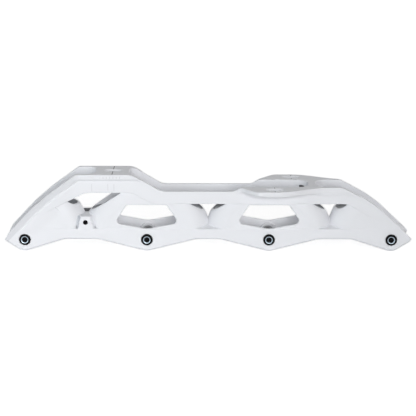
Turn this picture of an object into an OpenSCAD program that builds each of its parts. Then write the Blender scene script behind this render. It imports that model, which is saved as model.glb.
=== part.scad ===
// Inline skate frame for four 110 mm wheels and a three-point mount, right foot.
// +X is the toe, +Y the left side, +Z up; the origin is on the floor at the middle of the wheelbase.
// Heights named "above the axles" are measured from the axle centre line.

/* [Wheels and axles] */
// Wheel diameter the pockets are cut for
wheel_d = 110; // [104:0.5:112]
// Gap between one wheel and the next
wheel_gap = 2; // [1:0.5:5]
// Clearance between a wheel and its pocket
wheel_clear = 1.5; // [1:0.1:2.5]
// Width between the axle bosses, filled by a wheel hub and its spacers
hub_gap = 24.4; // [22:0.2:26]
// Axle shaft diameter
axle_d = 8; // [6:0.1:9]
// Axle head diameter
axle_head_d = 10.2; // [9.5:0.1:14]
// Axle head height
axle_head_h = 3; // [2:0.1:4]
// How far the head is sunk into the right wall
axle_head_sink = 2; // [0.5:0.1:2.5]
// Hex key size of the axle socket
axle_key = 4; // [3:0.5:5]
// Depth of the axle socket
axle_key_depth = 2.2; // [1:0.1:3]
// Radial running clearance between an axle and its bores
axle_fit = 0.05; // [0.02:0.01:0.09]
// Outside diameter of the steel thread insert
insert_d = 11; // [10:0.1:13]

/* [Side walls] */
// Width across the two side walls
frame_w = 34; // [32:0.5:38]
// Thickness of every cast wall
wall_t = 2.5; // [2:0.1:3.5]
// Radius of the rounded toe of the wall under each axle
boss_r = 11; // [10:0.5:13]
// Radius of the boss inside the wall at each axle
hub_boss_r = 8; // [7.5:0.1:9.5]
// Half length of the straight lower edge between two wheels
flat_half = 11; // [6:0.5:16]
// The same half length on the side of an end axle
end_flat_half = 19.5; // [15:0.5:22]
// Distance from an end axle to the pointed end of the wall
tip_reach = 19; // [17:0.1:22]
// Height of the pointed rear end above the axles
rear_tip_z = -1.1; // [-2:0.1:2]
// Height of the pointed front end above the axles
front_tip_z = 1.2; // [0:0.1:4]
// Rounding of the pointed ends
tip_r = 2; // [1:0.5:3]
// Height of the flange along the top of the heel and the rear slope
flange_w = 5.5; // [4:0.5:8]
// How far that flange stands out of the wall at the heel
flange_t = 2.2; // [1:0.1:3]

/* [Heights above the axles] */
// Lower knee of the rear slope
rear_low_knee_z = 28.6; // [27:0.2:30]
// Upper knee of the rear slope
rear_knee_z = 42.2; // [40:0.2:44]
// Upper knee of the front slope
front_knee_z = 37.4; // [35:0.2:39]
// Lower knee of the front slope
front_low_knee_z = 26.9; // [25:0.2:28]
// Top of the heel deck
heel_z = 61.5; // [57:0.5:66]
// Top of the front mount
deck_z = 49.5; // [48:0.5:54]
// Top of the low rails between heel and front mount
mid_z = 45.5; // [42:0.5:47]
// Underside of the top rails
rail_z = 33.7; // [33:0.1:36]
// Underside of the heel rails
heel_rail_z = 44; // [41:0.5:47]
// Top of the lower rails
band_z = 10; // [9:0.5:10.5]

/* [Stations along the frame] */
// Rear top corner of the heel
heel_rear_x = -120; // [-124:0.5:-116]
// Front top corner of the heel
heel_front_x = -69.5; // [-73:0.5:-66]
// Foot of the ramp in front of the heel
ramp_foot_x = -42.5; // [-50:0.5:-36]
// Foot of the step up to the right half of the front mount
step_x = 23; // [10:0.5:28]
// Length of that step
step_len = 7.5; // [5:0.5:12]
// Front end of the level front mount
deck_front_x = 122.5; // [116:0.5:126]

/* [Windows] */
// Half width of a window along its top edge
window_top_half = 18; // [14:0.5:20]
// Half width of a window at its side corners
window_half = 29.4; // [26:0.2:31]
// Top edge of a window above the axles
window_top_z = 32.5; // [29:0.5:33]
// Side corners of a window above the axles
window_side_z = 15.7; // [14:0.1:18]
// Lowest point of a window above the axles
window_low_z = 10.1; // [9.6:0.1:12]

/* [Wheel pockets] */
// How far the slanted cut that ends a middle pocket lies inside its crown
pocket_cut_in = 6.5; // [5:0.5:8.5]
// Steepness of the line from the axle square to that cut
pocket_cut_angle = 57; // [52:1:62]
// Half width of the open top of the two end pockets
mouth_half = 12.4; // [11:0.1:13]
// Lower edge of the open top of the rear pocket above the axles
rear_mouth_z = 32.2; // [30:0.2:34]
// Lower edge of the open top of the front pocket above the axles
front_mouth_z = 28.2; // [26:0.2:30]

/* [Mounts] */
// Rear edge of the heel deck
heel_deck_x = -104; // [-108:0.5:-100]
// Length of the heel deck
heel_deck_len = 32; // [26:0.5:34]
// Thickness of the heel deck and the front bridge
deck_t = 5.5; // [4:0.5:7]
// Centre of the heel slot along the frame
heel_slot_x = -87; // [-92:0.5:-84]
// Length of a mounting slot
slot_len = 15; // [10:0.5:17]
// Width of a mounting slot, for a 6 mm bolt
slot_w = 7; // [6:0.1:8]
// Rear edge of the front bridge
bridge_x = 89.5; // [85:0.5:95]
// Length of the front bridge
bridge_len = 12; // [9:0.5:16]
// Crest of the right mounting ear along the frame
ear_x = 60.5; // [58:0.5:66]
// How much further forward the left ear sits
ear_stagger = 17; // [0:0.5:18]
// Reach of an ear beyond the side wall
ear_reach = 19; // [14:0.5:20]
// Length of an ear behind its crest
ear_rear_len = 34.5; // [30:0.5:36]
// Length over which an ear swells out of the wall at its rear
ear_rise = 21; // [16:0.5:28]
// Length of an ear in front of its crest
ear_front_len = 50; // [40:0.5:50]
// Thickness of an ear at its edge
ear_edge_t = 5.5; // [4:0.1:7]
// Height of an ear where it meets the wall
ear_root_h = 9.5; // [8.5:0.5:15]
// Distance of the front slots from the middle of the frame
ear_slot_y = 25.6; // [24:0.1:27]

/* [Brake block] */
// Width of the brake block at its top
block_top_w = 10.6; // [9:0.2:14]
// Width of the brake block at its foot
block_foot_w = 16.8; // [15:0.2:20]
// Top of the brake block above the axles
block_top_z = 22; // [20:0.5:24]
// Brake screw hole above the axles
brake_hole_z = 16.3; // [15:0.1:17]
// Diameter of the brake screw hole, tapping size of a 5 mm thread
brake_hole_d = 4.2; // [3:0.1:5]
// Depth of the brake screw hole
brake_hole_depth = 8; // [5:0.5:9]

/* [Hidden] */

$fn = 96;
arc_steps = 6;
past = 1;
cast_white = [0.91, 0.92, 0.94];
axle_black = [0.06, 0.06, 0.07];
steel_grey = [0.55, 0.56, 0.58];

axle_count = 4;
pitch = wheel_d + wheel_gap;
axle_h = boss_r;
half_w = frame_w / 2;
inner_w = half_w - wall_t;
axle_r = axle_d / 2;
bore_r = axle_r + axle_fit;
// Radius up to which a pocket keeps flat sides before it rounds over the tyre
pocket_flat_r = wheel_d / 2 + wheel_clear - inner_w;
pocket_cut = wheel_d / 2 + wheel_clear - pocket_cut_in;
// Clearance round an axle head, and of a pressed insert
head_clear = 0.2;
insert_clear = 0.02;
// Height above the axles at which an ear leaves its wall
ear_root_z = deck_z - ear_root_h;

// Roundings of the wall outline
knee_r = 60;
heel_rear_r = 6;
heel_front_r = 16;
ramp_foot_r = 16;
step_r = 6;
deck_front_r = 12;
flat_r = 12;
rail_r = 14;
window_corner_r = 2;
window_side_r = 3.5;
window_low_r = 12;
// Knees of the slopes from their end axle towards the middle, and the foot of the rear slope from the rear end
rear_low_knee_in = 6;
rear_knee_in = 21.5;
front_knee_in = 22;
front_low_knee_in = 8;
rear_foot_in = 4;
rear_foot_rise = 7.3;
rear_foot_r = 15;
// Chin just under the front end
chin_in = 1;
chin_drop = 1.8;
chin_r = 1.5;
// Where the slanted undersides of the rails run out inside the end walls
rear_rail_run_z = 17;
front_rail_run_z = 12;
rear_rail_x = heel_rear_x + 9;
front_rail_x = deck_front_x + 4.5;
ramp_under_x = heel_front_x + 0.5;
ramp_under_len = 20.5;

function axle_x(i) = (i - (axle_count - 1) / 2) * pitch;
function bay_x(i) = axle_x(i) + pitch / 2;
function unit(v) = v / norm(v);

// Points of one corner b between its neighbours a and c, rounded to the radius in b[2]
function corner(a, b, c) =
    let (p = [b[0], b[1]], r = b[2])
    r == 0 ? [p] :
    let (
        u = unit([a[0], a[1]] - p),
        v = unit([c[0], c[1]] - p),
        half = acos(u * v) / 2,
        middle = p + unit(u + v) * r / sin(half),
        from = p + u * r / tan(half) - middle,
        to = p + v * r / tan(half) - middle,
        start = atan2(from[1], from[0]),
        turn = atan2(from[0] * to[1] - from[1] * to[0], from * to)
    )
    [for (k = [0 : arc_steps]) middle + r * [cos(start + turn * k / arc_steps), sin(start + turn * k / arc_steps)]];

// Closed outline with every [x, z, radius] corner rounded
function soft(p) =
    let (n = len(p))
    [for (i = [0 : n - 1]) each corner(p[(i + n - 1) % n], p[i], p[(i + 1) % n])];

// Arc under axle i between the tangents to a point at its right and a point at its left
function boss_arc(i, right, left) =
    let (
        centre = [axle_x(i), 0],
        r_arm = right - centre,
        l_arm = left - centre,
        first = atan2(r_arm[1], r_arm[0]) - acos(boss_r / norm(r_arm)),
        last = atan2(l_arm[1], l_arm[0]) + acos(boss_r / norm(l_arm)) - (l_arm[1] < 0 ? 0 : 360)
    )
    [for (k = [0 : arc_steps])
        let (a = first + (last - first) * k / arc_steps)
        [centre[0] + boss_r * cos(a), boss_r * sin(a), 0]];

rear_tip = [axle_x(0) - tip_reach, rear_tip_z];
front_tip = [axle_x(axle_count - 1) + tip_reach, front_tip_z];
chin = [front_tip[0] - chin_in, -chin_drop];
rear_foot = [rear_tip[0] + rear_foot_in, rear_tip[1] + rear_foot_rise];
rear_low_knee = [axle_x(0) + rear_low_knee_in, rear_low_knee_z];
rear_knee = [axle_x(0) + rear_knee_in, rear_knee_z];

// Outline of a side wall; shift moves its step up to the front mount
function wall_outline(shift) = concat(
    [
        [rear_tip[0], rear_tip[1], tip_r],
        [rear_foot[0], rear_foot[1], rear_foot_r],
        [rear_low_knee[0], rear_low_knee[1], knee_r],
        [rear_knee[0], rear_knee[1], knee_r],
        [heel_rear_x, heel_z, heel_rear_r],
        [heel_front_x, heel_z, heel_front_r],
        [ramp_foot_x, mid_z, ramp_foot_r],
        [step_x + shift, mid_z, step_r],
        [step_x + shift + step_len, deck_z, step_r],
        [deck_front_x, deck_z, deck_front_r],
        [axle_x(axle_count - 1) - front_knee_in, front_knee_z, knee_r],
        [axle_x(axle_count - 1) - front_low_knee_in, front_low_knee_z, knee_r],
        [front_tip[0], front_tip[1], tip_r],
        [chin[0], chin[1], chin_r]
    ],
    [for (i = [axle_count - 1 : -1 : 0])
        let (
            right = i == axle_count - 1 ? chin : [bay_x(i) - (i == 0 ? end_flat_half : flat_half), 0],
            left = i == 0 ? rear_tip : [bay_x(i - 1) + (i == axle_count - 1 ? end_flat_half : flat_half), 0]
        )
        each concat(
            i == axle_count - 1 ? [] : [[right[0], right[1], flat_r]],
            boss_arc(i, right, left),
            i == 0 ? [] : [[left[0], left[1], flat_r]]
        )]
);

// A flat drawing, x along the frame and y up, given thickness from y0 to y1 across the frame
module across(y0, y1) {
    translate([0, y1, 0])
        rotate([90, 0, 0])
            linear_extrude(y1 - y0)
                children();
}

// A drawing turned about axle i, with the radius along x and the width along y
module about_axle(i) {
    translate([axle_x(i), 0, 0])
        rotate([90, 0, 0])
            rotate_extrude()
                children();
}

// Area above the underside of the top rails
module rail_area() {
    roof = heel_z + past;
    polygon(soft([
        [rear_tip[0] - past, roof, 0],
        [rear_tip[0] - past, rear_rail_run_z, 0],
        [axle_x(0), rear_rail_run_z, 0],
        [rear_rail_x, heel_rail_z, rail_r],
        [ramp_under_x, heel_rail_z, rail_r],
        [ramp_under_x + ramp_under_len, rail_z, rail_r],
        [front_rail_x, rail_z, rail_r],
        [axle_x(axle_count - 1), front_rail_run_z, 0],
        [front_tip[0] + past, front_rail_run_z, 0],
        [front_tip[0] + past, roof, 0]
    ]));
}

// Area of the lower rails, from the floor to their top
module band_area() {
    translate([rear_tip[0] - past, -boss_r - past])
        square([front_tip[0] - rear_tip[0] + 2 * past, band_z + boss_r + past]);
}

// Flat end plates behind the first axle and in front of the last
module end_area() {
    for (side = [-1, 1])
        translate([side * (front_tip[0] + past), 0])
            mirror([side > 0 ? 1 : 0, 0])
                translate([0, -boss_r])
                    square([tip_reach + past, boss_r + heel_z]);
}

module window() {
    polygon(soft([
        [-window_top_half, window_top_z, window_corner_r],
        [window_top_half, window_top_z, window_corner_r],
        [window_half, window_side_z, window_side_r],
        [0, window_low_z, window_low_r],
        [-window_half, window_side_z, window_side_r]
    ]));
}

// Flat part of a side wall: rails, end plates and the discs round the axles
module wall_face(shift) {
    difference() {
        intersection() {
            polygon(soft(wall_outline(shift)));
            union() {
                rail_area();
                band_area();
                end_area();
                for (i = [0 : axle_count - 1])
                    translate([axle_x(i), 0])
                        circle(r = pocket_flat_r);
            }
        }
        for (i = [1 : axle_count - 2])
            translate([axle_x(i), 0])
                window();
    }
}

// Area of a wall under the crease of its flange
module under_crease() {
    slope_in = flange_w * sin(45);
    polygon(soft([
        [rear_foot[0] + slope_in, rear_foot[1] - slope_in, 0],
        [rear_low_knee[0] + slope_in, rear_low_knee[1] - slope_in, knee_r],
        [rear_knee[0] + flange_w * sin(38), rear_knee[1] - flange_w * cos(38), knee_r],
        [heel_rear_x + flange_w * tan(18), heel_z - flange_w, heel_rear_r],
        [ramp_foot_x, heel_z - flange_w, 0],
        [ramp_foot_x, -boss_r - past, 0],
        [rear_foot[0] + slope_in, -boss_r - past, 0]
    ]));
}

// Flange along the heel and the rear slope, on the side given by -1 (right) or 1 (left); it runs out to the rear
module heel_flange(side) {
    root = half_w - wall_t / 2;
    edge = half_w + flange_t;
    intersection() {
        across(side > 0 ? root : -edge, side > 0 ? edge : -root)
            intersection() {
                difference() {
                    polygon(soft(wall_outline(0)));
                    under_crease();
                }
                translate(rear_foot)
                    square([ramp_foot_x - rear_foot[0], heel_z]);
            }
        translate([0, 0, -boss_r])
            linear_extrude(boss_r + heel_z + past)
                polygon([
                    [rear_foot[0], side * root],
                    [rear_foot[0], side * half_w],
                    [heel_rear_x, side * edge],
                    [ramp_foot_x, side * edge],
                    [ramp_foot_x, side * root]
                ]);
    }
}

// Half ring that wraps the tyre of one wheel, from wall to wall
module pocket_shell(i) {
    about_axle(i)
        translate([pocket_flat_r, 0])
            intersection() {
                difference() {
                    circle(r = half_w);
                    circle(r = inner_w);
                }
                translate([0, -half_w])
                    square([half_w, frame_w]);
            }
}

// Solid of the room a wheel takes; grow adds to it all round
module pocket_room(i, grow) {
    about_axle(i)
        intersection() {
            union() {
                translate([0, -inner_w - grow])
                    square([pocket_flat_r, 2 * (inner_w + grow)]);
                translate([pocket_flat_r, 0])
                    circle(r = inner_w + grow);
            }
            translate([0, -half_w])
                square([pocket_flat_r + half_w, frame_w]);
        }
}

// Space beyond the end of the pocket of axle i, towards the bay at its front (1) or rear (-1)
module beyond_cut(i, way) {
    deep = frame_w + 2 * past;
    if (i == 0)
        translate([axle_x(i), -mouth_half, rear_mouth_z])
            cube([pitch, 2 * mouth_half, heel_z]);
    else if (i == axle_count - 1)
        translate([axle_x(i) - pitch, -mouth_half, front_mouth_z])
            cube([pitch, 2 * mouth_half, heel_z]);
    else
        translate([axle_x(i), 0, 0])
            rotate([0, way > 0 ? -pocket_cut_angle : pocket_cut_angle - 180, 0])
                translate([pocket_cut, -deep / 2, -pitch])
                    cube([pitch, deep, 2 * pitch]);
}

// Two pocket shells that meet in a bay, with the small floor between them
module bay_web(i) {
    intersection() {
        difference() {
            union() {
                difference() {
                    pocket_shell(i);
                    pocket_room(i + 1, 0);
                    beyond_cut(i, 1);
                }
                difference() {
                    pocket_shell(i + 1);
                    pocket_room(i, 0);
                    beyond_cut(i + 1, -1);
                }
                difference() {
                    translate([bay_x(i) - pitch / 4, -inner_w, band_z - wall_t])
                        cube([pitch / 2, 2 * inner_w, wall_t]);
                    pocket_room(i, wall_t / 2);
                    pocket_room(i + 1, wall_t / 2);
                }
            }
            across(-half_w - past, half_w + past)
                rail_area();
            for (side = [-1, 1])
                translate([axle_x(i), side > 0 ? inner_w : -half_w - past, -boss_r])
                    cube([pitch, wall_t + past, boss_r + band_z]);
        }
        translate([axle_x(i), -half_w, 0])
            cube([pitch, frame_w, heel_z]);
    }
}

// Trapezoid block across the rear bay that carries the brake screw
module block_prism() {
    across(-half_w, half_w)
        translate([bay_x(0), band_z])
            polygon([
                [-block_foot_w / 2, 0],
                [block_foot_w / 2, 0],
                [block_top_w / 2, block_top_z - band_z],
                [-block_top_w / 2, block_top_z - band_z]
            ]);
}

// Through slot along the frame, centred on the origin
module slot(depth) {
    straight = slot_len - slot_w;
    translate([0, 0, -past]) {
        for (end = [-1, 1])
            translate([end * straight / 2, 0, 0])
                cylinder(d = slot_w, h = depth + 2 * past);
        translate([-straight / 2, -slot_w / 2, 0])
            cube([straight, slot_w, depth + 2 * past]);
    }
}

// Reach of an ear at a distance x in front of its crest: a cosine swell, a straight run and a cosine tail
function ear_edge(x) =
    x > 0 ? ear_reach * (1 + cos(180 * x / ear_front_len)) / 2 :
    ear_reach * (1 - cos(180 * min(1, (x + ear_rear_len) / ear_rise))) / 2;

// Mounting ear on the side y < 0, crest at x = 0, top face at the height of the front mount
module mount_ear() {
    outline_steps = 16;
    cove_steps = 8;
    span = ear_rear_len + ear_front_len;
    cove_h = ear_root_h - ear_edge_t;
    difference() {
        intersection() {
            translate([0, -half_w, ear_root_z])
                linear_extrude(ear_root_h)
                    polygon(concat(
                        [[-ear_rear_len, 0]],
                        [for (k = [outline_steps - 1 : -1 : 1])
                            let (x = -ear_rear_len * k / outline_steps)
                            [x, -ear_edge(x)]],
                        [for (k = [0 : outline_steps - 1])
                            let (x = ear_front_len * k / outline_steps)
                            [x, -ear_edge(x)]],
                        [[ear_front_len, 0]]
                    ));
            translate([-ear_rear_len - past, 0, 0])
                rotate([90, 0, 90])
                    linear_extrude(span + 2 * past)
                        polygon(concat(
                            [for (k = [0 : cove_steps])
                                let (t = k / cove_steps)
                                [-half_w - ear_reach * t, ear_root_z + cove_h * (1 - pow(1 - t, 2))]],
                            [[-half_w - ear_reach, deck_z], [-half_w, deck_z]]
                        ));
        }
        translate([0, -ear_slot_y, ear_root_z])
            slot(ear_root_h);
    }
}

// Bar between the walls with its top at the height z
module deck_plate(x, length, z) {
    translate([x, -inner_w, z - deck_t])
        cube([length, 2 * inner_w, deck_t]);
}

// Bosses inside a wall on the side given by -1 (right) or 1 (left)
module hub_bosses(side) {
    for (i = [0 : axle_count - 1])
        across(side > 0 ? hub_gap / 2 : -inner_w, side > 0 ? inner_w : -hub_gap / 2)
            translate([axle_x(i), 0])
                circle(r = hub_boss_r);
}

module right_side_wall() {
    color(cast_white)
        translate([0, 0, axle_h])
            difference() {
                union() {
                    across(-half_w, -inner_w)
                        wall_face(0);
                    heel_flange(-1);
                    hub_bosses(-1);
                }
                for (i = [0 : axle_count - 1])
                    translate([axle_x(i), 0, 0]) {
                        across(-half_w - past, -hub_gap / 2 + past)
                            circle(r = bore_r);
                        across(-half_w - past, -half_w + axle_head_sink)
                            circle(r = axle_head_d / 2 + head_clear);
                    }
            }
}

module left_side_wall() {
    color(cast_white)
        translate([0, 0, axle_h])
            difference() {
                union() {
                    across(inner_w, half_w)
                        wall_face(ear_stagger);
                    heel_flange(1);
                    hub_bosses(1);
                }
                for (i = [0 : axle_count - 1])
                    across(hub_gap / 2 - past, half_w + past)
                        translate([axle_x(i), 0])
                            circle(r = insert_d / 2 + insert_clear);
            }
}

module rear_web() {
    color(cast_white)
        translate([0, 0, axle_h])
            difference() {
                bay_web(0);
                block_prism();
            }
}

module middle_web() {
    color(cast_white)
        translate([0, 0, axle_h])
            bay_web(1);
}

module front_web() {
    color(cast_white)
        translate([0, 0, axle_h])
            bay_web(2);
}

module brake_block() {
    color(cast_white)
        translate([0, 0, axle_h])
            difference() {
                block_prism();
                pocket_room(0, 0);
                pocket_room(1, 0);
                across(-half_w - past, -half_w + brake_hole_depth)
                    translate([bay_x(0), brake_hole_z])
                        circle(d = brake_hole_d);
            }
}

module heel_deck() {
    color(cast_white)
        translate([0, 0, axle_h])
            difference() {
                deck_plate(heel_deck_x, heel_deck_len, heel_z);
                translate([heel_slot_x, 0, heel_z - deck_t])
                    slot(deck_t);
            }
}

module front_bridge() {
    color(cast_white)
        translate([0, 0, axle_h])
            deck_plate(bridge_x, bridge_len, deck_z);
}

module right_mount_ear() {
    color(cast_white)
        translate([ear_x, 0, axle_h])
            mount_ear();
}

module left_mount_ear() {
    color(cast_white)
        translate([ear_x + ear_stagger, 0, axle_h])
            mirror([0, 1, 0])
                mount_ear();
}

// One-piece axle: sunk head with a hex socket at the right, shaft through to the left wall
module axle(i) {
    head_r = axle_head_d / 2;
    head_chamfer = 0.6;
    end_chamfer = 0.5;
    seat = half_w - axle_head_sink;
    shaft_len = seat + half_w - end_chamfer;
    color(axle_black)
        translate([axle_x(i), -seat, axle_h])
            rotate([-90, 0, 0])
                difference() {
                    rotate_extrude()
                        polygon([
                            [0, -axle_head_h],
                            [head_r - head_chamfer, -axle_head_h],
                            [head_r, -axle_head_h + head_chamfer],
                            [head_r, 0],
                            [axle_r, 0],
                            [axle_r, shaft_len - end_chamfer],
                            [axle_r - end_chamfer, shaft_len],
                            [0, shaft_len]
                        ]);
                    translate([0, 0, -axle_head_h - past])
                        cylinder(d = axle_key / cos(30), h = axle_key_depth + past, $fn = 6);
                }
}

// Steel bush pressed into the left wall, threaded for the axle
module axle_insert(i) {
    color(steel_grey)
        translate([0, 0, axle_h])
            across(hub_gap / 2, half_w)
                translate([axle_x(i), 0])
                    difference() {
                        circle(d = insert_d);
                        circle(r = bore_r);
                    }
}

right_side_wall();
left_side_wall();
rear_web();
middle_web();
front_web();
brake_block();
heel_deck();
front_bridge();
right_mount_ear();
left_mount_ear();
axle(0);  // axle_1
axle(1);  // axle_2
axle(2);  // axle_3
axle(3);  // axle_4
axle_insert(0);  // axle_insert_1
axle_insert(1);  // axle_insert_2
axle_insert(2);  // axle_insert_3
axle_insert(3);  // axle_insert_4
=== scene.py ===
import bpy
import numpy as np
from mathutils import Matrix, Vector


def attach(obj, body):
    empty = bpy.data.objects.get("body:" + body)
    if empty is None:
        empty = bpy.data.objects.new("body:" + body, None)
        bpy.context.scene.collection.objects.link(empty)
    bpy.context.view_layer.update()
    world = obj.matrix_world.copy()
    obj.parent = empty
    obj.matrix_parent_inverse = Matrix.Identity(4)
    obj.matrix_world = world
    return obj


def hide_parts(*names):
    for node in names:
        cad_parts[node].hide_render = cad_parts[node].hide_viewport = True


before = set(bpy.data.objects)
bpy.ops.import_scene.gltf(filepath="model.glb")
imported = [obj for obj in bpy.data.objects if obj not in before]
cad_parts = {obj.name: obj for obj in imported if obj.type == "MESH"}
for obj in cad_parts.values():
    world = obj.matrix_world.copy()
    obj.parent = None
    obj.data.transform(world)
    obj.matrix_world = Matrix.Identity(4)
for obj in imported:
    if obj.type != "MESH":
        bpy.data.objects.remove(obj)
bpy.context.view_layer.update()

# Frame casting
# One light-metal casting, painted satin white: two windowed side walls joined by webs that wrap the wheels,
# a slotted heel deck, a front bridge and two mounting ears. All lengths here are in millimetres, and
# heights are taken from the axle line, as a pattern maker would draw it.
PITCH = 112.0
AXLES = PITCH * (np.arange(4) - 1.5)
AXLE_HEIGHT = 11.0
HALF_WIDTH, ROOM_HALF = 17.0, 14.5
FLAT_RADIUS = 42.0
HEEL_TOP, DECK_TOP, LOW_TOP = 61.5, 49.5, 45.5
SILL_TOP = 10
TIP, CHIN = (-187.0, -1.1), (186.0, -1.8)
TOE_RADIUS, TOE_FLAT, END_FLAT = 11, 45, 36.5
STEP_X, STAGGER = 23, 17.0
EAR_X, EAR_REACH = 60.5, 19
BLOCK_X, BLOCK_TOP = -PITCH, 22
GROOVE_HALF, GROOVE_TAPER, GROOVE_MIDDLE, GROOVE_REACH = 9.3, 0.15, 16, 5.6
HOLE_HEIGHT, HOLE_RADIUS = 16.3, 2.1
WELL_HALF, WELL_Y = 4, 8.4
RECESS_X, RECESS_HEIGHT = 86.9, 43.5
SLOTS = ((-87, 0, 50, HEEL_TOP), (EAR_X, -25.6, 30, DECK_TOP), (EAR_X + STAGGER, 25.6, 30, DECK_TOP))
CASTING_STEP = 0.5
CASTING_TRIANGLES = 190000


def rounded(corners, steps=8):
    """Closed outline through [x, z, radius] corners, each corner replaced by an arc of its radius."""
    c = np.array(corners, float)
    p, before, after = c[:, :2], np.roll(c[:, :2], 1, 0), np.roll(c[:, :2], -1, 0)
    u = (before - p) / np.linalg.norm(before - p, axis=1, keepdims=True)
    v = (after - p) / np.linalg.norm(after - p, axis=1, keepdims=True)
    half = np.arccos(np.clip((u * v).sum(1), -1, 1)) / 2
    r = np.maximum(c[:, 2], 1e-3)
    inward = (u + v) / np.linalg.norm(u + v, axis=1, keepdims=True)
    middle = p + inward * (r / np.sin(half))[:, None]
    first = p + u * (r / np.tan(half))[:, None] - middle
    last = p + v * (r / np.tan(half))[:, None] - middle
    start = np.arctan2(first[:, 1], first[:, 0])
    turn = np.arctan2(first[:, 0] * last[:, 1] - first[:, 1] * last[:, 0], (first * last).sum(1))
    a = start[:, None] + turn[:, None] * np.linspace(0, 1, steps + 1)
    return (middle[:, None] + r[:, None, None] * np.stack([np.cos(a), np.sin(a)], -1)).reshape(-1, 2)


def area_distance(outline, x, z):
    """Signed distance from every grid point (x, z) to a closed outline, negative inside it."""
    a = outline.astype(np.float32)[:, None, None]
    b = np.roll(outline, -1, 0).astype(np.float32)[:, None, None]
    px, pz = x.astype(np.float32)[None, :, None], z.astype(np.float32)[None, None, :]
    ex, ez = b[..., 0] - a[..., 0], b[..., 1] - a[..., 1]
    wx, wz = px - a[..., 0], pz - a[..., 1]
    t = np.clip((wx * ex + wz * ez) / np.maximum(ex * ex + ez * ez, 1e-9), 0, 1)
    far = np.sqrt(((wx - ex * t) ** 2 + (wz - ez * t) ** 2).min(0))
    level = np.where(ez == 0, 1e-9, ez)
    crossed = ((a[..., 1] > pz) != (b[..., 1] > pz)) & (wx < ex * wz / level)
    return np.where(crossed.sum(0) % 2 == 1, -far, far)


def join(a, b, soft):
    """Union of two distance fields with a fillet about as wide as soft."""
    h = np.maximum(soft - np.abs(a - b), 0) / soft
    return np.minimum(a, b) - h * h * (soft / 4)


def keep(a, b, soft):
    """Intersection of two distance fields with a rounded edge about as wide as soft."""
    return -join(-a, -b, soft)


def ramp(value, start, length):
    """Rise from 0 at the start to 1 a length further on."""
    return np.clip((value - start) / length, 0, 1)


def top_line(step_x):
    """Corners of a wall's upper edge in side view, from the rear tip over heel and dip to the chin."""
    return [[*TIP, 2], [-183, 6.2, 15], [-162, 28.6, 60], [-146.5, 42.2, 60], [-120, HEEL_TOP, 6],
            [-69.5, HEEL_TOP, 16], [-42.5, LOW_TOP, 16], [step_x, LOW_TOP, 6], [step_x + 7.5, DECK_TOP, 6],
            [122.5, DECK_TOP, 12], [146, 37.4, 60], [160, 26.9, 60], [187, 1.2, 2]]


def wall_outline(step_x):
    """Side view of a wall: the upper edge, a round toe under each axle and straight flats between them."""
    toes = []
    for i in (3, 2, 1, 0):
        right = np.array(CHIN if i == 3 else (AXLES[i] + (END_FLAT if i == 0 else TOE_FLAT), 0.0))
        left = np.array(TIP if i == 0 else (AXLES[i] - (END_FLAT if i == 3 else TOE_FLAT), 0.0))
        arm_r, arm_l = right - [AXLES[i], 0], left - [AXLES[i], 0]
        first = np.arctan2(arm_r[1], arm_r[0]) - np.arccos(TOE_RADIUS / np.hypot(*arm_r))
        last = np.arctan2(arm_l[1], arm_l[0]) + np.arccos(TOE_RADIUS / np.hypot(*arm_l))
        last -= 0 if last < first else 2 * np.pi
        sweep = np.linspace(first, last, 9)
        toes += [] if i == 3 else [[right[0], 0, 12]]
        toes += [[AXLES[i] + TOE_RADIUS * np.cos(a), TOE_RADIUS * np.sin(a), 0] for a in sweep]
        toes += [] if i == 0 else [[left[0], 0, 12]]
    return rounded(top_line(step_x) + [[*CHIN, 1.5]] + toes)


def wall_face(x, z, rails):
    """Distance of a wall's outer face from the middle over the side view, the distance field of its crease
    line, and how far the heel flange rises at each x.

    The face is the half width less a chamfer along the lower edge and a small set-back of the panels under
    the rails. Along the rear slope it swells out to a bevel that leans back to the upper edge and narrows
    towards the tip, and dies out below in half a cosine. A groove of bell-shaped section follows the crease.
    """
    chamfer, set_back, bevel_lean, flange_rise = 1.7, 0.4, 0.42, 2.2
    fade, groove_drop, groove_width, groove_x, groove_half = 18, 0.8, 0.65, -109, 64
    crown = area_distance(rounded(top_line(STEP_X) + [[187, -300, 0], [-187, -300, 0]]), x, z)
    foot = area_distance(wall_outline(STEP_X), x, z)
    face = HALF_WIDTH - np.clip(np.where(crown < foot - 0.5, chamfer + foot, -1), 0, chamfer)
    panel = ramp(np.minimum(rails, z[None, :] - SILL_TOP), 0, 0.5)
    face -= set_back * panel * ramp(-np.abs(x[:, None]), -166, 30)
    rise = flange_rise * ramp(x, -183, 63)[:, None]
    heel = ramp(x, -138, 22)[:, None]
    heel = heel * heel * (3 - 2 * heel)
    bevel = np.interp(x, [-183, -170, -145, -120], [1.5, 2.4, 4.3, 4.9])[:, None]
    below = ramp(-crown - bevel, 0, fade)
    swell = (rise + bevel_lean * np.minimum(np.maximum(-crown, 0), bevel)) * (1 + np.cos(np.pi * below)) / 2
    face += (1 - heel) * ramp(x, -186, 24)[:, None] * swell
    crease = area_distance(rounded([
        [-179.1, 2.3, 0], [-158.1, 24.7, 60], [-143.1, 37.9, 60], [-118.2, 56.3, 6], [60, 56.3, 0],
        [60, -40, 0], [-179.1, -40, 0]]), x, z)
    along = (np.abs(x - groove_x) < groove_half)[:, None]
    face -= (0.5 + 0.3 * heel) * along * np.exp(-((crease + groove_drop) / groove_width) ** 2)
    return face, crease, rise


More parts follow.
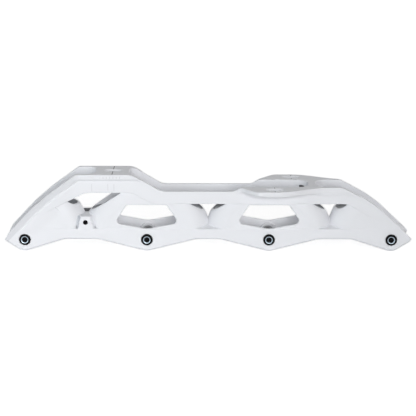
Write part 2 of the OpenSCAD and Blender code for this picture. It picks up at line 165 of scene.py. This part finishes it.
def side_wall(x, Y, z, rails):
    """Left wall, a slab from the wheel room out to its face.

    In side view it is the rails, the sill, a round panel at each axle and both ends, less two windows. A
    flange with a leaning underside stands out along the heel, and each axle has a boss towards the wheel.
    """
    flange_x, flange_half, flange_root, flange_under, slant = -90.2, 47.8, 15.75, 1.1, 1.414
    boss_radius, boss_end, boss_root = 8, 12.2, 15.5
    X, Z = x[:, None, None], z[None, None, :]
    window = rounded([[-18, 32.5, 2], [18, 32.5, 2], [29.4, 15.7, 3.5], [0, 10.1, 12], [-29.4, 15.7, 3.5]])
    panels = np.min([np.hypot(x[:, None] - a, z[None, :]) - FLAT_RADIUS for a in AXLES], axis=0)
    ends = AXLES[3] - np.abs(x)[:, None] + 0 * z[None, :]
    side = np.minimum(np.minimum(rails, z[None, :] - SILL_TOP + 0 * x[:, None]), np.minimum(panels, ends))
    for a in AXLES[1:3]:
        side = np.maximum(side, -area_distance(window + [a, 0], x, z))
    face, crease, rise = wall_face(x, z, rails)
    wall = keep(keep(side[:, None, :], Y - face[:, None, :], soft=0.9), ROOM_HALF - Y, soft=0.8)
    under = (Y - HALF_WIDTH - flange_under - crease[:, None, :]) / slant
    strip = np.maximum(under, np.abs(X - flange_x) - flange_half)
    flange = np.maximum(keep(strip, Y - HALF_WIDTH - rise[:, None], soft=0.5), flange_root - Y)
    wall = join(wall, flange, soft=0.4)
    for a in AXLES:
        boss = np.maximum(np.hypot(X - a, Z) - boss_radius, np.maximum(boss_end - Y, Y - boss_root))
        wall = join(wall, boss, soft=1.0)
    return wall


def wheel_web(i, X, Y, Z):
    """Web between wheels i and i + 1 over its own stretch of the grid.

    Round each wheel lies a shell of even thickness about q = hypot(max(r - flat radius, 0), y). Most shells
    are cut off along a tilted plane, and the outer ones of the end webs under a lens-shaped opening. The two
    are joined, notched over a sloping shelf on the sill, and the rear web carries the brake block.
    """
    shell_middle, shell_half, shell_start = 15.55, 1.05, 39.5
    tilt, cut_off = np.radians(57), 49.3
    lens_y, lens_soft, lens_heights = 12.6, 6.0, {(0, 0): 31.6, (2, 1): 27.6}
    notch_start, notch_flare, notch_slant, notch_floor = 6.5, 0.8, 1.6, 15.3
    shelf_slope, shelf_foot, shelf_edge, shelf_back = 0.24, 7.5, 16.8, 14.8
    xa, xb = X - AXLES[i], AXLES[i + 1] - X
    ra, rb = np.hypot(xa, Z), np.hypot(xb, Z)
    qa, qb = np.hypot(np.maximum(ra - FLAT_RADIUS, 0), Y), np.hypot(np.maximum(rb - FLAT_RADIUS, 0), Y)
    shells = []
    for which, (q, r, xo, other) in enumerate([(qa, ra, xa, qb), (qb, rb, xb, qa)]):
        limits = np.maximum(ROOM_HALF - other, shell_start - r)
        shell = np.maximum(np.abs(q - shell_middle) - shell_half, limits)
        if (i, which) in lens_heights:
            cut = join(lens_y - Y, Z - lens_heights[i, which], lens_soft)
        else:
            cut = xo * np.cos(tilt) + Z * np.sin(tilt) - cut_off
        shells.append(keep(shell, cut, soft=0.7))
    web = join(shells[0], shells[1], soft=0.4)
    off, q = np.abs(xa - xb) / 2, np.minimum(qa, qb)
    notch = np.maximum((notch_start + notch_flare * off + Z - SILL_TOP - Y) / notch_slant, notch_floor - q)
    web = keep(web, -notch, soft=0.4)
    shelf_top = SILL_TOP + shelf_slope * (HALF_WIDTH - Y)
    shelf = np.maximum(np.maximum(Y - shelf_edge, np.maximum(Z - shelf_top, shelf_foot - Z)), shelf_back - q)
    web = join(web, shelf, soft=0.3)
    return brake_block(web, off, q, Y, Z) if i == 0 else web


def brake_block(web, off, q, Y, Z):
    """The rear web with a block that tapers upwards and outwards, and a groove beside each of its cheeks."""
    foot_half, taper, lean, slant, block_foot, groove_floor = 7.1, 0.246, 0.3, 1.07, 8, 13.2
    cheek = (off + taper * (Z - SILL_TOP) + lean * (Y - HALF_WIDTH) - foot_half) / slant
    groove = np.maximum(np.maximum(off + GROOVE_TAPER * (Z - SILL_TOP) - GROOVE_HALF, groove_floor - Y),
                        np.abs(Z - GROOVE_MIDDLE) - GROOVE_REACH)
    web = keep(web, -groove, soft=0.4)
    block = np.maximum(np.maximum(cheek, Z - BLOCK_TOP), np.maximum(block_foot - Z, ROOM_HALF - q))
    return join(web, keep(block, Y - HALF_WIDTH, soft=0.7), soft=0.3)


def with_decks(body, X, Y, Z):
    """The walls and webs with heel deck and front bridge, flush with the rails and with wide fillets."""
    deck_x, deck_half, deck_under = -87.5, 15.5, 56
    bridge_x, bridge_half, bridge_under = 95.5, 3.5, 44
    deck_edge, fillet_end = 15.5, 15.9
    deck = np.maximum(np.maximum(np.abs(X - deck_x) - deck_half, deck_under - Z), Y - deck_edge)
    bridge = np.maximum(np.maximum(np.abs(X - bridge_x) - bridge_half, bridge_under - Z), Y - deck_edge)
    return np.where(Y < fillet_end, join(join(body, deck, soft=10.0), bridge, soft=13.0), body)


def ear_reach(x):
    """How far an ear stands out at x from its crest: a cosine swell, a cosine tail and a low strip."""
    swell_start, swell_length, tail_length = -34.5, 21, 50
    strip_height, strip_end, strip_fade = 0.8, 80, 25
    swell = (1 - np.cos(np.pi * ramp(x, swell_start, swell_length))) / 2
    tail = (1 + np.cos(np.pi * ramp(x, 0, tail_length))) / 2
    strip = strip_height * ramp(-x, -strip_end, strip_fade) * (1 - tail)
    return np.where(x > 0, EAR_REACH * tail + strip, EAR_REACH * swell)


def mount_ear(x, side_y, Z, shift):
    """Ear on the outside of a wall: its plan is the reach, and its underside sinks by a square inwards."""
    ear_root, ear_sink, no_ear = 16, 4, 9
    reach = ear_reach(x - EAR_X - shift)
    lean = np.sqrt(1 + np.gradient(reach, x) ** 2)
    inner = np.clip(1 - (side_y - HALF_WIDTH) / np.maximum(reach, 0.5)[:, None, None], 0, 1)
    edge = np.interp(x - EAR_X - shift, [-20, 0, 25, 40], [4.3, 5.2, 5.3, 5.8])[:, None, None]
    under = DECK_TOP - edge - ear_sink * (reach / EAR_REACH)[:, None, None] * inner ** 2
    plan = (side_y - HALF_WIDTH - reach[:, None, None]) / lean[:, None, None]
    ear = np.maximum(keep(plan, (under - Z) * 0.9, soft=2.0), ear_root - side_y)
    return np.where(reach[:, None, None] > 0.05, ear, no_ear)


def drilled(body, X, Y, Z):
    """The casting less its axle bores, chamfered slots, brake screw hole, nut well and small cast recess."""
    shaft_bore, head_bore, head_seat, insert_bore = 4.05, 5.3, 15, 5.52
    slot_half, slot_radius, slot_chamfer, hole_end = 4, 3.5, 1.2, 9
    well_reach, well_middle, well_rise = 5.9, 19, 8
    recess_half, recess_radius, recess_y, recess_reach = 1.2, 0.9, 12.5, 4
    for a in AXLES:
        bore = np.hypot(X - a, Z)
        right = np.minimum(np.maximum(bore - shaft_bore, Y), np.maximum(bore - head_bore, Y + head_seat))
        body = keep(body, -np.minimum(right, np.maximum(bore - insert_bore, -Y)), soft=0.3)
    for slot_x, slot_y, low, top in SLOTS:
        flare = np.clip(Z - top + slot_chamfer, 0, slot_chamfer)
        slot = np.hypot(np.maximum(np.abs(X - slot_x) - slot_half, 0), Y - slot_y) - slot_radius - flare
        body = keep(body, -np.maximum(slot, low - Z), soft=0.4)
    hole = np.maximum(np.hypot(X - BLOCK_X, Z - HOLE_HEIGHT) - HOLE_RADIUS, Y + hole_end)
    well = np.maximum(np.abs(X - BLOCK_X) - WELL_HALF, np.abs(Y - WELL_Y) - well_reach)
    well = np.maximum(well, np.abs(Z - well_middle) - well_rise)
    recess = np.hypot(np.maximum(np.abs(X - RECESS_X) - recess_half, 0), Z - RECESS_HEIGHT) - recess_radius
    recess = np.maximum(recess, np.abs(Y - recess_y) - recess_reach)
    return keep(body, -np.minimum(np.minimum(hole, well), recess), soft=0.3)


def casting_field(x, y, z):
    """Distance field of the casting on the grid x, y, z, negative inside the metal.

    The left wall, the webs and the decks are worked out for y > 0 and mirrored. The staggered ears are added
    to each side with fillets, each side is trimmed to its wall's outline, and the cuts come last.
    """
    x, y, z = (np.asarray(a, np.float32) for a in (x, y, z))
    X, Y, Z = x[:, None, None], y[y > 0][None, :, None], z[None, None, :]
    rails = area_distance(rounded([
        [-189, 64, 0], [-189, 17, 0], [-168, 17, 0], [-111, 44, 14], [-69, 44, 14], [-48.5, 33.7, 14],
        [127, 33.7, 14], [168, 12, 0], [189, 12, 0], [189, 64, 0]]), x, z)
    body = side_wall(x, Y, z, rails)
    for i in range(3):
        s = (x >= AXLES[i]) & (x <= AXLES[i + 1])
        web = keep(wheel_web(i, X[s], Y, Z), np.maximum(-rails[s][:, None, :], -Z), soft=0.6)
        body[s] = join(body[s], web, soft=0.5)
    body = with_decks(body, X, Y, Z)
    body = np.concatenate([body[:, ::-1], body], axis=1)
    Y = y[None, :, None]
    for sign, shift in ((-1, 0.0), (1, STAGGER)):
        out = sign * y > 0
        body[:, out] = join(body[:, out], mount_ear(x, sign * Y[:, out], Z, shift), soft=3.0)
        outline = area_distance(wall_outline(STEP_X + shift), x, z)
        body[:, out] = keep(body[:, out], outline[:, None, :], soft=0.6)
    return drilled(body, X, Y, Z)


def sample(field, origin, step, points):
    """Trilinear value of a gridded field at scattered points."""
    g = (points - origin) / step
    i = np.clip(np.floor(g).astype(int), 0, np.array(field.shape) - 2)
    f = g - i
    total = 0
    for corner in np.ndindex(2, 2, 2):
        c = np.array(corner)
        weight = np.prod(np.where(c == 1, f, 1 - f), axis=1)
        total = total + weight * field[tuple((i + c).T)]
    return total


def slope(field, origin, step, points):
    """Unit gradient of the field at the points, from differences half a step each way."""
    g = np.stack([sample(field, origin, step, points + d) - sample(field, origin, step, points - d)
                  for d in np.eye(3) * step * 0.5], axis=1)
    return g / np.maximum(np.linalg.norm(g, axis=1, keepdims=True), 1e-9)


def surface_net(field, origin, step):
    """Points and quads of the zero surface: one point per grid cell that the surface crosses, at the mean
    of the crossings on the cell's edges, and one quad round every grid edge whose ends differ in sign."""
    inside = field < 0
    shape = np.array(field.shape)
    count = sum(inside[a:shape[0] - 1 + a, b:shape[1] - 1 + b, c:shape[2] - 1 + c].astype(np.int8)
                for a, b, c in np.ndindex(2, 2, 2))
    cells = np.argwhere((count > 0) & (count < 8))
    number = np.full(shape - 1, -1, np.int32)
    number[tuple(cells.T)] = np.arange(len(cells))
    corners = np.array(list(np.ndindex(2, 2, 2)))
    values = np.stack([field[tuple((cells + c).T)] for c in corners], axis=1)
    total, hits = np.zeros((len(cells), 3)), np.zeros(len(cells))
    for a in range(8):
        for b in range(a + 1, 8):
            if np.abs(corners[a] - corners[b]).sum() == 1:
                va, vb = values[:, a], values[:, b]
                cross = (va < 0) != (vb < 0)
                t = np.where(cross, va / np.where(cross, va - vb, 1), 0)[:, None]
                total += np.where(cross[:, None], corners[a] + t * (corners[b] - corners[a]), 0)
                hits += cross
    points = origin + step * (cells + total / hits[:, None])
    quads = []
    for axis in range(3):
        one, two = (axis + 1) % 3, (axis + 2) % 3
        low = inside.take(range(shape[axis] - 1), axis)
        high = inside.take(range(1, shape[axis]), axis)
        edges = np.argwhere(low != high)
        leaving = low[tuple(edges.T)]
        ring = []
        for d1, d2 in ((0, 0), (1, 0), (1, 1), (0, 1)):
            cell = edges.copy()
            cell[:, one] -= 1 - d1
            cell[:, two] -= 1 - d2
            ring.append(number[tuple(cell.T)])
        ring = np.stack(ring, axis=1)
        quads.append(np.where(leaving[:, None], ring, ring[:, ::-1]))
    return points, np.concatenate(quads)


def to_metres(points):
    """Points in millimetres above the axle line, as metres above the floor."""
    return (points + [0, 0, AXLE_HEIGHT]) / 1000


def mesh_object(name, points, faces):
    """Object at the origin whose smooth mesh has the given points (in metres) and lists of corners."""
    mesh = bpy.data.meshes.new(name)
    mesh.from_pydata(points.tolist(), [], faces)
    mesh.validate()
    mesh.polygons.foreach_set("use_smooth", np.ones(len(mesh.polygons), bool))
    made = bpy.data.objects.new(name, mesh)
    bpy.context.scene.collection.objects.link(made)
    return made


# The net is drawn onto the surface in two short steps, thinned, and shaded with the field's own slope.
# The grid starts a little off the round numbers, so that no flat face lies on its points.
grid = [np.arange(-188.47, 189.5, CASTING_STEP),
        (np.arange(-75, 75) + 0.5) * CASTING_STEP,
        np.arange(-12.47, 63.6, CASTING_STEP)]
metal = casting_field(*grid)
corner = np.array([g[0] for g in grid])
points, quads = surface_net(metal, corner, CASTING_STEP)
for _ in range(2):
    points = points - (sample(metal, corner, CASTING_STEP, points)[:, None]
                       * slope(metal, corner, CASTING_STEP, points)) * 0.8
rough = mesh_object("frame_casting_rough", to_metres(points), quads.tolist())
thinning = rough.modifiers.new("thin", "DECIMATE")
thinning.ratio = CASTING_TRIANGLES / (2 * len(quads))
fine = bpy.data.meshes.new_from_object(rough.evaluated_get(bpy.context.evaluated_depsgraph_get()))
bpy.data.objects.remove(rough)
casting = bpy.data.objects.new("frame_casting", fine)
bpy.context.scene.collection.objects.link(casting)
where = np.empty(len(fine.vertices) * 3, np.float32)
fine.vertices.foreach_get("co", where)
where = where.reshape(-1, 3) * 1000 - [0, 0, AXLE_HEIGHT]
fine.polygons.foreach_set("use_smooth", np.ones(len(fine.polygons), bool))
fine.normals_split_custom_set_from_vertices(slope(metal, corner, CASTING_STEP, where).tolist())


class Socket:
    """A shader value: arithmetic on it adds Math nodes, and node() adds any other node."""

    def __init__(self, tree, link):
        self.tree, self.link = tree, link

    def node(self, kind, settings=None, out=0, **inputs):
        """New node with its settings and its inputs, which go by name, or as i0, i1 and so on by number."""
        made = self.tree.nodes.new(kind)
        for key, value in (settings or {}).items():
            setattr(made, key, value)
        for key, value in inputs.items():
            numbered = key[0] == "i" and key[1:].isdigit()
            socket = made.inputs[int(key[1:]) if numbered else key]
            if isinstance(value, Socket):
                self.tree.links.new(value.link, socket)
            else:
                socket.default_value = value
        return Socket(self.tree, made.outputs[out])

    def math(self, operation, *others):
        return self.node("ShaderNodeMath", {"operation": operation}, i0=self,
                         **{"i%d" % (k + 1): o for k, o in enumerate(others)})

    def limited(self):
        """The value kept between 0 and 1."""
        return self.math("MAXIMUM", 0.0).math("MINIMUM", 1.0)

    def __add__(self, other):
        return self.math("ADD", other)

    def __radd__(self, other):
        return self.math("ADD", other)

    def __sub__(self, other):
        return self.math("SUBTRACT", other)

    def __rsub__(self, other):
        return (self * -1) + other

    def __mul__(self, other):
        return self.math("MULTIPLY", other)

    def __rmul__(self, other):
        return self.math("MULTIPLY", other)

    def __lt__(self, other):
        return self.math("LESS_THAN", other)

    def __gt__(self, other):
        return self.math("GREATER_THAN", other)

    def __abs__(self):
        return self.math("ABSOLUTE")


def finish_of(name):
    """New material: returns it, its Principled node, and Object coordinates, also as x, y, z in mm."""
    made = bpy.data.materials.new(name)
    made.use_nodes = True
    tree = made.node_tree
    shader = tree.nodes["Principled BSDF"]
    place = Socket(tree, tree.nodes.new("ShaderNodeTexCoord").outputs["Object"])
    split = place.node("ShaderNodeSeparateXYZ", Vector=place)
    x, y, z = (Socket(tree, split.link.node.outputs[k]) * 1000 for k in range(3))
    return made, shader, place, x, y, z


def feed(value, shader, name):
    """Link a value to the shader's input of that name."""
    value.tree.links.new(value.link, shader.inputs[name])


def grain(place, scale, detail=3.0, rough=0.55):
    """Noise from 0 to 1 with lumps of 1/scale metres."""
    return place.node("ShaderNodeTexNoise", Vector=place, Scale=scale, Detail=detail, Roughness=rough)


def blend(place, factor, first, second):
    """Colour mixed from the first to the second by a factor."""
    return place.node("ShaderNodeMix", {"data_type": "RGBA"}, out=2, i0=factor, i6=first, i7=second)


def band(value, middle, half):
    """1 where a value lies within half of the middle, else 0."""
    return abs(value - middle) < half


WHITE, WHITE_LIGHT = (0.838, 0.845, 0.875, 1), (0.860, 0.868, 0.898, 1)
SLOPE_BEVEL_SHADE, GROOVE_SHADE = (0.735, 0.742, 0.770, 1), (0.53, 0.56, 0.60, 1)
POCKET_SHADE = (0.24, 0.245, 0.255, 1)
INK, HOLE_WALL_BLACK = (0.1, 0.1, 0.11, 1), (0.01, 0.01, 0.011, 1)
paint, shader, place, x, y, z = finish_of("white satin paint")
cloud = grain(place, 22)
fine_grain = grain(place, 900, 2.0)
tone = blend(place, cloud, WHITE, WHITE_LIGHT)
z = z - AXLE_HEIGHT
# Painted shade: deep in the wheel pockets, in the small cast recess and in the nut well the paint is
# coloured dark grey where shade falls
from_wheel = (x - AXLES[0]).math("PINGPONG", PITCH / 2)
radius = (from_wheel * from_wheel + z * z).math("SQRT")
tread = (radius - FLAT_RADIUS).math("MAXIMUM", 0.0)
pocket_shade_top, heel_window = 33.6, band(x, -84, 28)
pocket_shade = ((tread * tread + y * y).math("SQRT") < 15.3) * (z < pocket_shade_top - heel_window * 7)
pocket_shade = pocket_shade * (radius > 43) * ((z - 22) * 0.25).limited()
# Painted shade in the cast recess and in the nut well over the brake block
recess = band(x, RECESS_X, 2.3) * band(z, RECESS_HEIGHT, 1.0) * (y > 8) * (y < 17.2)
well = band(x, BLOCK_X, WELL_HALF + 0.6) * band(y, WELL_Y, 6.5) * (z < 25)
tone = blend(place, pocket_shade.math("MAXIMUM", recess).math("MAXIMUM", well), tone, POCKET_SHADE)
# Painted shade: the bevel along the rear slope, above the lowest of three lines, is coloured greyer where it
# turns from the light
slope_line = (x * 1.067 + 193.4).math("MINIMUM", x * 0.88 + 163.8).math("MINIMUM", x * 0.739 + 143.6)
painted_bevel_shade = (z - slope_line).limited() * (abs(y) > 16.3) * ((-117 - x) * 0.2).limited()
tone = blend(place, painted_bevel_shade, tone, SLOPE_BEVEL_SHADE)
# Painted shade: the groove on the heel side of the brake block is coloured darker, and darkest at its top
from_block = BLOCK_X - x
painted_groove_shade = (from_block > 4.2) * (from_block + (z - SILL_TOP) * GROOVE_TAPER < GROOVE_HALF - 0.15)
painted_groove_shade = painted_groove_shade * band(abs(y), 14, 2.5) * band(z, GROOVE_MIDDLE, GROOVE_REACH) * (z * 0.06 - 0.34)
tone = blend(place, painted_groove_shade, tone, GROOVE_SHADE)
# Printed marks: a scale of plain ticks on the heel flange, three bars under it, and lines across the slots
tick_pitch, tick_half, bar_half = 3.0, 0.22, 0.3
tick_step = (x + 101).math("PINGPONG", tick_pitch / 2)
ticks = (tick_step < tick_half) * band(x, -88.5, 9.5) * band(z, 58.8, 1.0) * (y < -18)
bars = sum(band(x, bar_x, bar_half) for bar_x in (-105.6, -90.9, -85.4)) * band(z, 49.1, 3.4) * (y < -16)
marks = ticks * 0.25 + bars * 0.16
line_sizes = ((0.45, 17, 0.75), (0.4, 9, 0.55), (0.4, 9, 0.55))
for (slot_x, slot_y, _, top), (half, reach, strength) in zip(SLOTS, line_sizes):
    marks = marks + band(x, slot_x, half) * (z > top - 0.2) * band(y, slot_y, reach) * strength
printed = blend(place, marks.math("MINIMUM", 1.0), tone, INK)
# The walls of the brake screw hole are coloured near black
over_hole = z - HOLE_HEIGHT
tapped = (from_block * from_block + over_hole * over_hole < 5.3) * (y > -16.8) * (y < -8.5)
feed(blend(place, tapped, printed, HOLE_WALL_BLACK), shader, "Base Color")
feed(fine_grain * 0.1 + 0.40, shader, "Roughness")
shader.inputs["Specular IOR Level"].default_value = 0.2
bump = place.node("ShaderNodeBump", Height=fine_grain + cloud * 0.5, Strength=0.06, Distance=0.0002)
feed(bump, shader, "Normal")
casting.data.materials.append(paint)
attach(casting, "frame")
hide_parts("right_side_wall", "left_side_wall", "rear_web", "middle_web", "front_web",
            "brake_block", "heel_deck", "front_bridge", "right_mount_ear", "left_mount_ear")

# Axles
# Four one-piece steel axles in black oxide, turned with a flat head that is sunk in the right wall,
# a broached hex socket with a bright bevel round it, and a shaft that screws into the left wall.
HEX_FLAT, HEX_CORNER = 2.0, 2.31
BLACK_OXIDE, WORN_SHAFT = (0.005, 0.005, 0.006, 1), (0.060, 0.061, 0.064, 1)
BRIGHT_BEVEL = (0.40, 0.47, 0.53, 1)


def axle_surface(place_x, turns=96):
    """Axle turned about the y axis: each profile row is y, radius and how far the ring there is a hexagon.

    A ring's points are at radius times the cosine and sine of the turn. On a hexagon the radius is the flat
    over the cosine of the angle from that flat's middle. A fan of triangles closes each end.
    """
    rows = np.array([
        [16.5, 0, 0], [16.5, 3.5, 0], [16.0, 4.0, 0], [-14.6, 4.0, 0], [-15.0, 4.3, 0], [-15.0, 5.0, 0],
        [-15.1, 5.1, 0], [-17.4, 5.1, 0], [-17.8, 4.9, 0], [-18.0, 4.5, 0], [-18.0, 3.5, 0],
        [-17.96, 3.36, 0], [-17.5, 2.6, 0], [-17.4, 2.45, 0.6], [-17.35, HEX_CORNER, 1],
        [-15.8, HEX_CORNER, 1], [-15.8, 2.2, 1], [-15.8, 0, 0]])
    angle = np.arange(turns) * 2 * np.pi / turns
    hexagon = HEX_FLAT / np.cos((angle + np.pi / 6) % (np.pi / 3) - np.pi / 6)
    round_radius, hex_share = rows[:, 1:2], rows[:, 2:]
    radius = round_radius * (1 - hex_share) + hex_share * hexagon[None, :] * round_radius / HEX_CORNER
    p = np.stack([place_x + radius * np.cos(angle), rows[:, :1] + 0 * radius, radius * np.sin(angle)], -1)
    points = np.vstack([p[1:-1].reshape(-1, 3), [[place_x, rows[0, 0], 0], [place_x, rows[-1, 0], 0]]])
    n = len(rows) - 2
    ring, step = np.meshgrid(np.arange(n - 1), np.arange(turns), indexing="ij")
    after = (step + 1) % turns
    quads = np.stack([ring * turns + step, ring * turns + after, (ring + 1) * turns + after,
                      (ring + 1) * turns + step], axis=-1).reshape(-1, 4)
    t = np.arange(turns)
    end = (n - 1) * turns
    first = np.stack([np.full(turns, n * turns), (t + 1) % turns, t], axis=-1)
    last = np.stack([np.full(turns, n * turns + 1), end + t, end + (t + 1) % turns], axis=-1)
    return points, quads.tolist() + first.tolist() + last.tolist()


oxide, shader, place, x, y, z = finish_of("black oxide steel")
turning = grain(place, 1500, 2.0)
from_axle = (x - AXLES[0]).math("PINGPONG", PITCH / 2)
over_axle = z - AXLE_HEIGHT
radius = (from_axle * from_axle + over_axle * over_axle).math("SQRT")
bright = (radius > 2.65) * (radius < 3.35) * (y < -17.3)
shaft = y > -14.9
worn = blend(place, shaft, BLACK_OXIDE, WORN_SHAFT)
feed(blend(place, bright, worn, BRIGHT_BEVEL), shader, "Base Color")
feed(bright * 0.9 + shaft * 0.3, shader, "Metallic")
shader.inputs["Specular IOR Level"].default_value = 0.06
feed(turning * 0.2 + 0.3, shader, "Roughness")
feed(place.node("ShaderNodeBump", Height=turning, Strength=0.1, Distance=0.0001), shader, "Normal")
for i, axle_x in enumerate(AXLES):
    points, faces = axle_surface(axle_x)
    axle = mesh_object("axle_%d_turned" % (i + 1), to_metres(points), faces)
    axle.data.set_sharp_from_angle(angle=np.radians(25))
    axle.data.materials.append(oxide)
    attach(axle, "axle_%d_body" % (i + 1))
    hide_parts("axle_%d" % (i + 1))

# Thread inserts
# Plain steel bushes pressed into the left wall, faced flush with it, that take the axle threads.
# Their own CAD meshes are kept and given a turned finish.
steel, shader, place, *_ = finish_of("faced steel")
turning = grain(place, 1800, 2.0)
feed(blend(place, turning, (0.46, 0.46, 0.48, 1), (0.60, 0.60, 0.62, 1)), shader, "Base Color")
feed(turning * 0.15 + 0.28, shader, "Roughness")
shader.inputs["Metallic"].default_value = 0.9
for i in range(4):
    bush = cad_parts["axle_insert_%d" % (i + 1)]
    bush.data.materials.clear()
    bush.data.materials.append(steel)

# Floor, light and camera
# A pale studio floor under a white surround, a soft lamp in front, and others to the left, overhead and
# behind. The camera has the photograph's viewing angle. Lengths here are in metres.
FLOOR_HALF, FLOOR_DROP = 4.0, 0.0002
FLOOR_DARK, FLOOR_LIGHT = (0.87, 0.87, 0.87, 1), (0.89, 0.89, 0.89, 1)
GLOW_NEAR, GLOW_FAR, NO_GLOW = (0.66, 0.66, 0.66, 1), (0.9, 0.9, 0.9, 1), (0, 0, 0, 1)


def seen_directly(tree):
    """1 for rays that show the surround itself, to the camera or in metal or glass, and 0 for its light."""
    path = tree.nodes.new("ShaderNodeLightPath")
    camera, glossy, through = (Socket(tree, path.outputs["Is %s Ray" % kind])
                               for kind in ("Camera", "Glossy", "Transmission"))
    return camera.math("MAXIMUM", glossy).math("MAXIMUM", through)


square = np.array([[-1, -1, 0], [1, -1, 0], [1, 1, 0], [-1, 1, 0]])
floor = mesh_object("studio_floor", square * FLOOR_HALF - [0, 0, FLOOR_DROP], [[0, 1, 2, 3]])
pale, shader, place, x, y, z = finish_of("pale studio floor")
feed(blend(place, grain(place, 3), FLOOR_DARK, FLOOR_LIGHT), shader, "Base Color")
shader.inputs["Roughness"].default_value = 0.9
shader.inputs["Specular IOR Level"].default_value = 0.0
shader.inputs["Emission Strength"].default_value = 1.0
far = ((x * x + y * y).math("SQRT") * 0.0012 - 0.4).limited()
glow = blend(place, far, GLOW_NEAR, GLOW_FAR)
feed(blend(place, seen_directly(pale.node_tree), NO_GLOW, glow), shader, "Emission Color")
floor.data.materials.append(pale)

scene = bpy.context.scene
scene.view_settings.view_transform = "Standard"
world = bpy.data.worlds.new("studio")
scene.world = world
world.use_nodes = True
surround = world.node_tree.nodes["Background"]
feed(seen_directly(world.node_tree) * 0.70 + 0.30, surround, "Strength")
surround.inputs["Color"].default_value = (1, 1, 1, 1)


def facing(eye, backwards):
    """Matrix of a lamp or camera at eye that looks against the given direction, upright."""
    right = Vector((0, 0, 1)).cross(backwards).normalized()
    up = backwards.cross(right)
    return Matrix.Translation(eye) @ Matrix((right, up, backwards)).transposed().to_4x4()


def soft_lamp(name, eye, target, wide, high, energy, spread, colour):
    """Rectangular lamp at eye that faces a target, its beam narrowed to a spread angle in degrees."""
    data = bpy.data.lights.new(name, "AREA")
    data.shape, data.size, data.size_y = "RECTANGLE", wide, high
    data.energy, data.spread, data.color = energy, np.radians(spread), colour
    lamp = bpy.data.objects.new(name, data)
    lamp.matrix_world = facing(Vector(eye), (Vector(eye) - Vector(target)).normalized())
    scene.collection.objects.link(lamp)


soft_lamp("front lamp", (0.18, -1.5, 0.39), (-0.28, 0, 0.04), 0.9, 0.64, 2.12, 64, (1, 1, 1))
soft_lamp("left lamp", (-1.3, -0.9, 0.35), (0, 0, 0.04), 0.6, 0.6, 4.1, 180, (0.85, 0.95, 1))
soft_lamp("top lamp", (0.0, -0.05, 1.4), (0, 0, 0.05), 1.2, 0.8, 0.4, 180, (1, 1, 1))
soft_lamp("back lamp", (1.0, 1.3, 0.14), (0, 0, 0.04), 0.5, 0.2, 4.0, 180, (1, 1, 1))

PICTURE_WIDTH, FOCAL_PIXELS = 416, 1422.22
aim, camera_distance = Vector((0.000023, 0, 0.036807)), 1.314185
turn, height = np.radians(0.335), np.radians(14.486)
back = Vector((np.sin(turn) * np.cos(height), -np.cos(turn) * np.cos(height), np.sin(height)))
lens = bpy.data.cameras.new("camera")
lens.sensor_width = 36
lens.lens = FOCAL_PIXELS * lens.sensor_width / PICTURE_WIDTH
lens.clip_end = 50
camera = bpy.data.objects.new("camera", lens)
camera.matrix_world = facing(aim + back * camera_distance, back)
scene.collection.objects.link(camera)
scene.camera = camera
